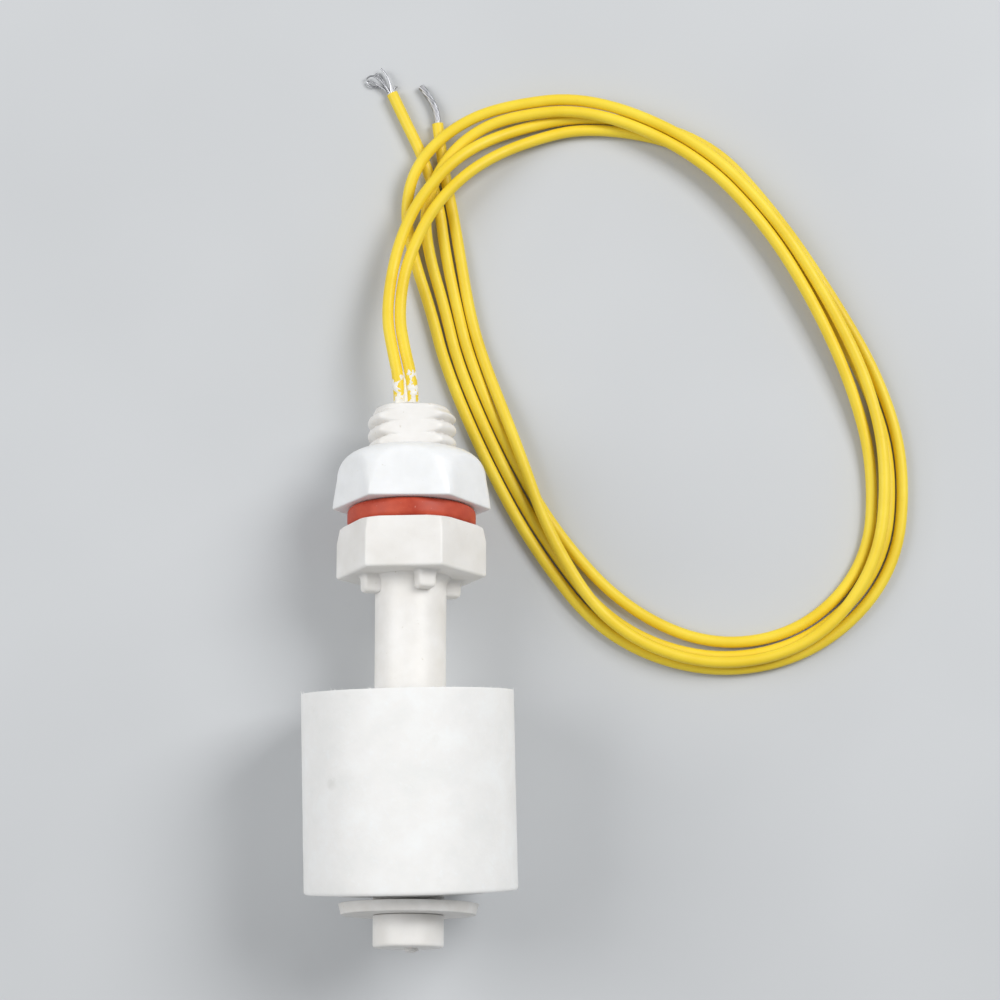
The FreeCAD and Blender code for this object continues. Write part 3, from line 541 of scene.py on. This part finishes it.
def foamed_polypropylene(name):
    """Foamed polypropylene: a matt white skin with faint cloudy mottling from the foam under it,
    fine paler flecks where the cells shine through, and a few dull marks from handling."""
    material, tree, shader, place = new_material(name)
    patch = node(tree, "ShaderNodeTexNoise", Vector=place, Scale=per_mm(4.5), Detail=6.0,
                 Roughness=0.6).outputs["Fac"]
    tones = [(0.30, linear("#EAEAE8")), (0.50, linear("#EFEEEC")), (0.72, linear("#F3F4F3"))]
    colour = node(tree, "ShaderNodeValToRGB", {"stops": tones}, Fac=patch).outputs["Color"]
    cells = node(tree, "ShaderNodeTexNoise", Vector=place, Scale=per_mm(0.8), Detail=3.0,
                 Roughness=0.7).outputs["Fac"]
    fleck = node(tree, "ShaderNodeValToRGB", {"stops": [(0.56, (0, 0, 0, 1)), (0.70, (0.3, 0.3, 0.3, 1))]},
                 Fac=cells).outputs["Color"]
    flecked = node(tree, "ShaderNodeMix", {"data_type": "RGBA"}, i0=fleck, i6=colour,
                   i7=linear("#F3F6F7")).outputs[2]
    smudge = node(tree, "ShaderNodeTexNoise", Vector=place, Scale=per_mm(7.0), Detail=5.0,
                  Roughness=0.7).outputs["Fac"]
    dull = node(tree, "ShaderNodeValToRGB", {"stops": [(0.64, (0, 0, 0, 1)), (0.76, (0.3, 0.3, 0.3, 1))]},
                Fac=smudge).outputs["Color"]
    marked = node(tree, "ShaderNodeMix", {"data_type": "RGBA"}, i0=dull, i6=flecked,
                  i7=linear("#D8D6CF")).outputs[2]
    away = node(tree, "ShaderNodeVectorMath", {"operation": "DISTANCE"}, i0=place,
                i1=tuple(Vector(SCUFF_PLACE) * MM)).outputs["Value"]
    ragged = node(tree, "ShaderNodeMath", {"operation": "MULTIPLY_ADD"}, i0=cells, i1=1.2 * MM, i2=away)
    scuff = node(tree, "ShaderNodeMapRange", Value=ragged.outputs[0], i1=0.7 * MM, i2=1.5 * MM,
                 i3=0.26, i4=0.0)
    spotted = node(tree, "ShaderNodeMix", {"data_type": "RGBA"}, i0=scuff.outputs[0], i6=marked,
                   i7=linear("#BDBBB4")).outputs[2]
    tree.links.new(spotted, shader.inputs["Base Color"])
    depth = node(tree, "ShaderNodeMath", {"operation": "MULTIPLY_ADD"}, i0=patch, i1=2.0, i2=cells)
    bump = node(tree, "ShaderNodeBump", Height=depth.outputs[0], Strength=0.16, Distance=0.12 * MM)
    tree.links.new(bump.outputs[0], shader.inputs["Normal"])
    rough = node(tree, "ShaderNodeMapRange", Value=patch, i1=0.3, i2=0.7, i3=0.72, i4=0.55)
    tree.links.new(rough.outputs[0], shader.inputs["Roughness"])
    shader.inputs["IOR"].default_value = 1.49
    shader.inputs["Subsurface Weight"].default_value = 0.15
    shader.inputs["Subsurface Radius"].default_value = (1.0, 0.96, 0.9)
    shader.inputs["Subsurface Scale"].default_value = 0.6 * MM
    return material


foam = foamed_polypropylene("matt_foamed_polypropylene")
shell.data.materials.append(foam)
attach(shell, "float")
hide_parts("float_shell")

cap = add_mesh("float_end_disc", [lathe(soften([
    (FLOAT_BORE, cap_seat), (FLOAT_BORE, -HALF - CAP_PROUD), (CAP_RADIUS, -HALF - CAP_PROUD),
    (CAP_RADIUS, cap_seat)], {1: 0.4, 2: 0.14}), 160)], float_place)
cap.data.materials.append(foam)
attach(cap, "float")
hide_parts("float_cap")

# Hairs of torn skin stand along the sharp edge and a few along the rounded one: for each edge, how
# many, where along the float, their longest, and how far they reach out past the edge.
HAIR_EDGES = ((210, HALF - 0.08, 0.62, 1), (30, -HALF + 0.5, 0.25, -1))
hair_points, hair_faces = [], []
scatter = random.Random(11)
for count, height, longest, outward in HAIR_EDGES:
    for _ in range(count):
        angle = scatter.uniform(0, 2 * math.pi)
        length = longest * scatter.uniform(0.25, 1.0)
        width = scatter.uniform(0.02, 0.045)
        swing = angle + scatter.uniform(-0.8, 0.8) * length / FLOAT_RADIUS
        rise = height + outward * scatter.uniform(-0.1, 0.9) * length
        root = FLOAT_RADIUS - 0.16
        tip = min(root + length * 0.5, FLOAT_RADIUS - 0.01)
        start = len(hair_points)
        for side in (-width, width):
            turn = angle + side / FLOAT_RADIUS
            hair_points.append((root * math.cos(turn), root * math.sin(turn), height))
        hair_points.append((root * math.cos(angle), root * math.sin(angle), height - outward * 2 * width))
        hair_points.append((tip * math.cos(swing), tip * math.sin(swing), rise))
        hair_faces += [[start, start + 1, start + 3], [start + 1, start + 2, start + 3],
                       [start + 2, start, start + 3], [start, start + 2, start + 1]]
hairs = add_mesh("trimming_hairs", [(hair_points, hair_faces)], float_place)
hairs.data.materials.append(foam)
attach(hairs, "float")

# ------------------------------------------------------------------ ring magnet
# A sintered ferrite ring that lies in the float's pocket; it closes the reed contact as it passes.
magnet = add_mesh("ring_magnet", [lathe(soften([
    (MAGNET[0], cap_seat + FIT), (MAGNET[1], cap_seat + FIT), (MAGNET[1], cap_seat + FIT + MAGNET_LENGTH),
    (MAGNET[0], cap_seat + FIT + MAGNET_LENGTH)], {0: 0.2, 1: 0.2, 2: 0.2, 3: 0.2}), 96)], float_place)


def sintered_ferrite():
    """Sintered ferrite: near black, dull and finely grainy, with greyer ground patches."""
    material, tree, shader, place = new_material("sintered_ferrite")
    grain = node(tree, "ShaderNodeTexNoise", Vector=place, Scale=per_mm(0.3), Detail=4.0).outputs["Fac"]
    tones = [(0.3, linear("#232326")), (0.75, linear("#3C3C40"))]
    colour = node(tree, "ShaderNodeValToRGB", {"stops": tones}, Fac=grain).outputs["Color"]
    tree.links.new(colour, shader.inputs["Base Color"])
    bump = node(tree, "ShaderNodeBump", Height=grain, Strength=0.25, Distance=0.08 * MM)
    tree.links.new(bump.outputs[0], shader.inputs["Normal"])
    shader.inputs["Metallic"].default_value = 0.35
    shader.inputs["Roughness"].default_value = 0.62
    return material


magnet.data.materials.append(sintered_ferrite())
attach(magnet, "magnet_carriage")
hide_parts("float_magnet")

# ------------------------------------------------------------------ reed contact and its joints
# Inside the bore: a sealed glass tube with two nickel-iron blades, one lead bent back beside the glass
# in a sleeve, and two solder joints to the wires. These solids already have their true shape.


def reed_capsule_glass():
    """Soda glass, faintly green, drawn and sealed by flame."""
    material, tree, shader, place = new_material("green_tinted_glass")
    cloud = node(tree, "ShaderNodeTexNoise", Vector=place, Scale=per_mm(3.0)).outputs["Fac"]
    tones = [(0.3, linear("#DDEFE4")), (0.7, linear("#EEF7F0"))]
    colour = node(tree, "ShaderNodeValToRGB", {"stops": tones}, Fac=cloud).outputs["Color"]
    tree.links.new(colour, shader.inputs["Base Color"])
    shader.inputs["Transmission Weight"].default_value = 1.0
    shader.inputs["IOR"].default_value = 1.52
    shader.inputs["Roughness"].default_value = 0.04
    return material


def drawn_metal(name, light, dark, streak, roughness):
    """Plated or tinned wire: bright metal with fine streaks along its length."""
    material, tree, shader, place = new_material(name)
    stretched = node(tree, "ShaderNodeMapping", Vector=place, Scale=(1.0, 0.15, 1.0)).outputs[0]
    lines = node(tree, "ShaderNodeTexNoise", Vector=stretched, Scale=per_mm(streak),
                 Detail=4.0).outputs["Fac"]
    tones = [(0.3, linear(dark)), (0.7, linear(light))]
    colour = node(tree, "ShaderNodeValToRGB", {"stops": tones}, Fac=lines).outputs["Color"]
    tree.links.new(colour, shader.inputs["Base Color"])
    rough = node(tree, "ShaderNodeMapRange", Value=lines, i1=0.2, i2=0.8, i3=roughness - 0.1,
                 i4=roughness + 0.12)
    tree.links.new(rough.outputs[0], shader.inputs["Roughness"])
    shader.inputs["Metallic"].default_value = 1.0
    return material


def flat_plastic(name, light, dark, size, roughness):
    """A plain plastic or resin with a faint unevenness of tone."""
    material, tree, shader, place = new_material(name)
    cloud = node(tree, "ShaderNodeTexNoise", Vector=place, Scale=per_mm(size), Detail=4.0).outputs["Fac"]
    tones = [(0.3, linear(dark)), (0.7, linear(light))]
    colour = node(tree, "ShaderNodeValToRGB", {"stops": tones}, Fac=cloud).outputs["Color"]
    tree.links.new(colour, shader.inputs["Base Color"])
    bump = node(tree, "ShaderNodeBump", Height=cloud, Strength=0.15, Distance=0.08 * MM)
    tree.links.new(bump.outputs[0], shader.inputs["Normal"])
    shader.inputs["Roughness"].default_value = roughness
    shader.inputs["IOR"].default_value = 1.5
    return material


nickel_iron = drawn_metal("plated_nickel_iron", "#CFCBC2", "#A39E95", 0.2, 0.3)
solder = drawn_metal("lead_free_solder", "#D5D6D9", "#9B9DA2", 0.5, 0.35)
inner_finishes = {
    "reed_glass": reed_capsule_glass(), "reed_blade_a": nickel_iron, "reed_blade_b": nickel_iron,
    "solder_joint_a": solder, "solder_joint_b": solder,
    "lead_sleeve": flat_plastic("thin_ptfe_sleeve", "#EDEDE8", "#DADAD2", 0.8, 0.4),
}
for name, finish in inner_finishes.items():
    solid = frame["nodes"][name]
    solid.data.materials.clear()
    solid.data.materials.append(finish)

# ------------------------------------------------------------------ wires
# Two soft single wires, tinned strands in yellow silicone-like PVC, 1.3 mm over the insulation and
# about 0.4 m long. They come out of the potting side by side and lie in two loose laps on the floor.
WIRE_DIAMETER = 1.3
mouth = stem_place @ Vector((0, 0, SPIGOT_LENGTH * MM)) / MM
WIRE_A = [
    (-1.4, mouth.y, mouth.z), (-1.5, 33.1, 6.62), (-2.3, 36.8, 6.1), (-3.0, 40.6, 5.3),
    (-2.6, 45.5, 4.4), (-1.5, 50.4, 3.8), (0.8, 55.2, 3.8), (5.2, 60.1, 3.6), (11.1, 63.4, 1.4),
    (20.4, 65.6, 0.7), (33.6, 63.0, 0.7), (41.8, 53.7, 0.7), (48.1, 44.1, 0.7), (53.5, 34.4, 0.7),
    (56.3, 24.3, 0.7), (55.0, 11.9, 0.7), (46.1, 2.8, 0.7), (33.9, 0.2, 0.7), (21.7, 4.5, 0.7),
    (13.6, 14.8, 0.7), (8.1, 25.0, 0.7), (3.6, 35.6, 0.7), (1.9, 42.3, 0.7), (-0.1, 48.4, 0.7),
    (-1.2, 53.7, 1.3), (0.0, 59.0, 2.2), (4.1, 63.4, 2.2), (9.8, 66.1, 2.1), (20.3, 67.4, 2.2),
    (33.1, 61.9, 2.2), (41.5, 53.2, 2.2), (47.5, 43.5, 2.1), (52.1, 33.7, 2.1), (54.0, 24.0, 2.1),
    (52.8, 12.7, 2.1), (45.5, 3.5, 2.1), (33.8, 0.9, 2.1), (22.3, 5.3, 2.1), (15.5, 15.8, 2.1),
    (11.8, 26.5, 2.1), (7.8, 36.8, 0.7), (6.3, 42.3, 0.7), (5.2, 49.0, 0.7), (4.3, 54.3, 0.7),
    (3.2, 59.5, 0.7), (2.6, 64.4, 0.7),
]
WIRE_B = [
    (0.1, mouth.y, mouth.z), (0.0, 33.1, 6.62), (-0.9, 36.8, 6.1), (-1.6, 40.6, 5.3),
    (-1.2, 45.5, 4.4), (0.1, 49.6, 3.8), (2.4, 54.1, 3.8), (6.6, 58.5, 3.4), (12.3, 61.9, 1.4),
    (20.4, 64.2, 0.7), (32.9, 61.7, 0.7), (40.6, 52.7, 0.7), (46.8, 43.3, 0.7), (52.1, 33.8, 0.7),
    (54.8, 24.2, 0.7), (53.6, 12.6, 0.7), (45.3, 4.1, 0.7), (34.0, 1.7, 0.7), (22.6, 5.7, 0.7),
    (14.9, 15.6, 0.7), (9.4, 25.6, 0.7), (5.0, 36.0, 0.7), (3.5, 42.5, 0.7), (1.6, 49.0, 0.7),
    (1.1, 53.6, 1.8), (2.7, 58.5, 2.3), (5.9, 62.4, 2.2), (10.8, 64.9, 2.2), (20.3, 65.9, 2.2),
    (32.3, 60.7, 2.2), (40.4, 52.3, 2.1), (46.1, 42.7, 2.1), (50.3, 33.1, 1.5), (52.6, 24.1, 0.7),
    (51.9, 13.3, 0.7), (44.6, 5.4, 0.7), (34.2, 3.4, 0.7), (24.1, 7.8, 0.7), (16.2, 16.5, 0.7),
    (10.7, 26.2, 0.7), (6.4, 36.4, 0.7), (4.9, 42.5, 0.7), (3.5, 49.2, 0.7), (2.8, 54.8, 0.7),
    (0.9, 60.5, 0.7), (-1.2, 64.8, 0.7), (-2.7, 68.0, 0.7),
]


def yellow_insulation():
    """Soft extruded PVC: a strong yellow with a satin skin, faintly scuffed and dusty."""
    material, tree, shader, place = new_material("yellow_pvc_insulation")
    tone = node(tree, "ShaderNodeTexNoise", Vector=place, Scale=per_mm(6.0), Detail=3.0).outputs["Fac"]
    colour = node(tree, "ShaderNodeValToRGB", {"stops": [(0.3, linear("#EBCB28")), (0.7, linear("#F4D93C"))]},
                  Fac=tone).outputs["Color"]
    scuff = node(tree, "ShaderNodeTexNoise", Vector=place, Scale=per_mm(0.5), Detail=4.0,
                 Roughness=0.7).outputs["Fac"]
    worn = node(tree, "ShaderNodeValToRGB", {"stops": [(0.62, (0, 0, 0, 1)), (0.78, (0.5, 0.5, 0.5, 1))]},
                Fac=scuff).outputs["Color"]
    mixed = node(tree, "ShaderNodeMix", {"data_type": "RGBA"}, i0=worn, i6=colour, i7=linear("#DDBB2A"))
    tree.links.new(mixed.outputs[2], shader.inputs["Base Color"])
    bump = node(tree, "ShaderNodeBump", Height=scuff, Strength=0.08, Distance=0.05 * MM)
    tree.links.new(bump.outputs[0], shader.inputs["Normal"])
    rough = node(tree, "ShaderNodeMapRange", Value=scuff, i1=0.3, i2=0.7, i3=0.42, i4=0.58)
    tree.links.new(rough.outputs[0], shader.inputs["Roughness"])
    shader.inputs["IOR"].default_value = 1.5
    shader.inputs["Subsurface Weight"].default_value = 0.1
    shader.inputs["Subsurface Radius"].default_value = (1.0, 0.85, 0.1)
    shader.inputs["Subsurface Scale"].default_value = 0.4 * MM
    return material


insulation = yellow_insulation()


def lay_wire(name, points):
    """A round wire along a smooth line with the route's points as its control points."""
    curve = bpy.data.curves.new(name, "CURVE")
    curve.dimensions = "3D"
    line = curve.splines.new("NURBS")
    line.points.add(len(points) - 1)
    for control, point in zip(line.points, points):
        control.co = (*(Vector(point) * MM), 1)
    line.order_u = 3
    line.use_endpoint_u = True
    line.resolution_u = 10
    curve.bevel_depth = WIRE_DIAMETER / 2 * MM
    curve.bevel_resolution = 8
    curve.use_fill_caps = True
    piece = bpy.data.objects.new(name, curve)
    bpy.context.collection.objects.link(piece)
    curve.materials.append(insulation)
    return piece


wire_a = lay_wire("yellow_wire_a", WIRE_A)
wire_b = lay_wire("yellow_wire_b", WIRE_B)
for piece, solid in ((wire_a, "wire_a"), (wire_b, "wire_b")):
    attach(piece, "stem")
    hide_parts(solid)
for name in ("wire_end_a", "wire_end_b"):
    solid = frame["nodes"][name]
    solid.data.materials.clear()
    solid.data.materials.append(insulation)

# ------------------------------------------------------------------ stripped wire ends
# Each wire is stripped for a few millimetres. One end's strands are twisted and dipped in solder,
# and the other's are left splayed where the insulation was pulled off.
tinned_copper = drawn_metal("tinned_copper_strands", "#C9C9CC", "#8E8F93", 0.3, 0.42)


def strand(points, radius, sides=10):
    """A thin round strand along a few points, as a closed skin."""
    rows = []
    spots = [Vector(point) for point in points]
    across = Vector((0, 0, 1))
    for index, spot in enumerate(spots):
        ahead = (spots[min(index + 1, len(spots) - 1)] - spots[max(index - 1, 0)]).normalized()
        side = ahead.cross(across).normalized()
        up = side.cross(ahead)
        rows.append([spot + side * radius * math.cos(2 * math.pi * k / sides)
                     + up * radius * math.sin(2 * math.pi * k / sides) for k in range(sides)])
    return skin(rows, closed=False)


def along_curve(points, share):
    """A point on the smooth line that a few points draw towards themselves."""
    work = [Vector(point) for point in points]
    while len(work) > 1:
        work = [a.lerp(b, share) for a, b in zip(work, work[1:])]
    return work[0]


TINNED_ROUTE = [(2.6, 64.35, 0.7), (2.62, 66.0, 0.72), (1.95, 67.3, 0.66), (0.66, 68.9, 0.5)]
TINNED_STRANDS = 7
TINNED_STEPS = 40
TINNED_RADIUS = 0.2
TINNED_SPREAD = 0.19    # from the middle strand to the ones round it
TWIST_TURNS = 0.9
NEARBY = 0.02           # the share of the way that gives a direction
tinned_shells = []
for number in range(TINNED_STRANDS):
    track = []
    for step in range(TINNED_STEPS + 1):
        share = step / TINNED_STEPS
        middle = along_curve(TINNED_ROUTE, share)
        beyond = along_curve(TINNED_ROUTE, min(share + NEARBY, 1))
        ahead = (beyond - along_curve(TINNED_ROUTE, share - NEARBY)).normalized()
        side = ahead.cross(Vector((0, 0, 1))).normalized()
        up = side.cross(ahead)
        angle = 2 * math.pi * (number / (TINNED_STRANDS - 1) + TWIST_TURNS * share)
        out = 0.0 if number == TINNED_STRANDS - 1 else TINNED_SPREAD
        track.append(middle + (side * math.cos(angle) + up * math.sin(angle)) * out)
    tinned_shells.append(strand(track, TINNED_RADIUS, 14))
tinned_end = add_mesh("tinned_wire_end", tinned_shells, Matrix.Identity(4))
SPLAYED_STRANDS = [
    [(-2.80, 67.9, 0.85), (-2.95, 69.3, 0.90), (-3.00, 70.0, 0.80), (-4.03, 71.0, 0.70)],
    [(-2.60, 67.95, 0.75), (-2.90, 69.5, 0.70), (-3.50, 70.6, 0.50), (-3.75, 70.8, 0.45)],
    [(-2.70, 67.9, 0.70), (-3.40, 68.2, 0.80), (-4.60, 69.6, 0.60), (-6.60, 70.6, 0.35), (-6.20, 69.2, 0.30),
     (-4.90, 68.5, 0.45), (-4.40, 69.1, 0.50)],
    [(-2.75, 67.9, 0.50), (-3.50, 69.2, 0.35), (-4.10, 70.3, 0.30), (-4.66, 70.5, 0.25)],
    [(-2.90, 67.85, 0.80), (-3.70, 69.3, 1.00), (-4.90, 70.8, 0.80), (-5.74, 69.8, 0.50)],
    [(-2.50, 67.9, 0.60), (-2.70, 68.8, 0.50), (-2.40, 68.9, 0.40), (-2.10, 68.9, 0.30)],
    [(-2.95, 67.85, 0.60), (-3.40, 68.6, 0.40), (-3.90, 69.0, 0.25), (-4.60, 69.0, 0.20)],
]
SPLAYED_STEPS = 30
SPLAYED_RADIUS = 0.1
splayed_shells = []
for bends in SPLAYED_STRANDS:
    track = [along_curve(bends, step / SPLAYED_STEPS) for step in range(SPLAYED_STEPS + 1)]
    splayed_shells.append(strand(track, SPLAYED_RADIUS, 8))
splayed_end = add_mesh("splayed_wire_end", splayed_shells, Matrix.Identity(4))
for piece, solid in ((tinned_end, "conductor_a"), (splayed_end, "conductor_b")):
    piece.data.materials.append(tinned_copper)
    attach(piece, "stem")
    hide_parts(solid)

# ------------------------------------------------------------------ potting
# Milky epoxy fills the bore round the reed contact. Its skin creeps up the wires at the mouth and
# leaves a pale crust on them for a few millimetres.
potting_resin = flat_plastic("milky_cast_epoxy", "#F1EDE2", "#DCD5C5", 0.9, 0.45)
solid = frame["nodes"]["potting"]
solid.data.materials.clear()
solid.data.materials.append(potting_resin)
CRUST_SHARE = 0.95    # how much of the wire's first bend it covers
CRUST_ROWS = 60
CRUST_SIDES = 36


def crust_on(points, seed):
    """Resin that has run up a wire from the mouth. It comes and goes, and lets the wire show."""
    first_bend = [Vector(points[0]), Vector(points[1]), (Vector(points[1]) + Vector(points[2])) / 2]
    rows = []
    for step in range(CRUST_ROWS + 1):
        share = CRUST_SHARE * step / CRUST_ROWS
        middle = along_curve(first_bend, share)
        ahead = (along_curve(first_bend, share + 0.01) - middle).normalized()
        side = ahead.cross(Vector((0, 0, 1))).normalized()
        up = side.cross(ahead)
        foot = 0.35 * max(1 - share / 0.07, 0) ** 2
        fade = 0.13 * (share / CRUST_SHARE) ** 1.5
        ring = []
        for turn in range(CRUST_SIDES):
            angle = 2 * math.pi * turn / CRUST_SIDES
            out = side * math.cos(angle) + up * math.sin(angle)
            lump = space_noise.noise(middle * 0.9 + out * 0.8 + Vector((seed, 0, 0)))
            grit = space_noise.noise(middle * 3.5 + out * 2.5 + Vector((seed, 5, 0)))
            ring.append(middle + out * (WIRE_DIAMETER / 2 + 0.03 + foot - fade + 0.16 * lump + 0.08 * grit))
        rows.append(ring)
    return skin(rows, closed=False)


def crust_between(left, right):
    """The ridge of resin in the furrow between the two wires."""
    rows = []
    for step in range(CRUST_ROWS + 1):
        share = CRUST_SHARE * 0.9 * step / CRUST_ROWS
        middles = []
        for points in (left, right):
            bend = [Vector(points[0]), Vector(points[1]), (Vector(points[1]) + Vector(points[2])) / 2]
            middles.append(along_curve(bend, share))
        middle = (middles[0] + middles[1]) / 2
        shrink = 1 - 0.75 * share / CRUST_SHARE
        ring = []
        for turn in range(CRUST_SIDES):
            angle = 2 * math.pi * turn / CRUST_SIDES
            out = Vector((math.cos(angle) * 0.42, 0, math.sin(angle) * 0.55))
            lump = 1 + 0.45 * space_noise.noise(middle * 1.6 + out * 1.5)
            ring.append(middle + out * lump * shrink)
        rows.append(ring)
    return skin(rows, closed=False)


crust = add_mesh("epoxy_crust", [crust_on(WIRE_A, 3.0), crust_on(WIRE_B, 8.0), crust_between(WIRE_A, WIRE_B)],
                 Matrix.Identity(4))
crust.data.materials.append(flat_plastic("dried_epoxy_crust", "#F0EEE8", "#DDD9CF", 0.5, 0.6))
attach(crust, "stem")

# ------------------------------------------------------------------ floor, lights and camera
# The switch lies on a plain pale board under two soft boxes and an even sky, seen from above and
# a little from the float's end.
floor_mesh = bpy.data.meshes.new("studio_floor")
FLOOR = 3.0
floor_mesh.from_pydata([(-FLOOR, -FLOOR, 0), (FLOOR, -FLOOR, 0), (FLOOR, FLOOR, 0), (-FLOOR, FLOOR, 0)], [],
                       [(0, 1, 2, 3)])
floor = bpy.data.objects.new("studio_floor", floor_mesh)
bpy.context.collection.objects.link(floor)


def pale_floor():
    """Plain matt board."""
    material, tree, shader, place = new_material("pale_board")
    tone = node(tree, "ShaderNodeTexNoise", Vector=place, Scale=per_mm(40)).outputs["Fac"]
    tones = [(0.3, linear("#C6C8CA")), (0.7, linear("#CBCDCF"))]
    colour = node(tree, "ShaderNodeValToRGB", {"stops": tones}, Fac=tone).outputs["Color"]
    tree.links.new(colour, shader.inputs["Base Color"])
    shader.inputs["Roughness"].default_value = 0.9
    shader.inputs["Specular IOR Level"].default_value = 0.1
    return material


floor_mesh.materials.append(pale_floor())


KEY_WATTS = 2.1
FILL_WATTS = 1.45
AIR_STRENGTH = 0.39


def softbox(name, place, aim, size, power):
    """A square soft light at a place, turned to the point it lights."""
    lamp = bpy.data.lights.new(name, "AREA")
    lamp.size = size
    lamp.energy = power
    holder = bpy.data.objects.new(name, lamp)
    bpy.context.collection.objects.link(holder)
    holder.location = place
    holder.rotation_euler = (Vector(aim) - Vector(place)).to_track_quat("-Z", "Y").to_euler()
    return holder


middle = (0.02, 0.02, 0.0)
softbox("key_light", (0.34, 0.22, 0.42), middle, 0.26, KEY_WATTS)
softbox("fill_light", (-0.40, 0.10, 0.36), middle, 0.34, FILL_WATTS)
world = bpy.data.worlds.new("studio_air")
bpy.context.scene.world = world
world.use_nodes = True
world.node_tree.nodes["Background"].inputs["Color"].default_value = linear("#F2F4F6")
world.node_tree.nodes["Background"].inputs["Strength"].default_value = AIR_STRENGTH

camera_data = bpy.data.cameras.new("camera")
camera_data.lens = 94.26
camera_data.sensor_width = 36
camera_data.clip_start = 0.01
camera_data.clip_end = 20
camera = bpy.data.objects.new("camera", camera_data)
bpy.context.collection.objects.link(camera)
EYE = Vector((9.85, -15.08, 297.89)) * MM
AIM = Vector((9.85, 20.44, 0)) * MM
camera.location = EYE
camera.rotation_euler = (AIM - EYE).to_track_quat("-Z", "Y").to_euler()
bpy.context.scene.camera = camera
bpy.context.scene.view_settings.view_transform = "Standard"
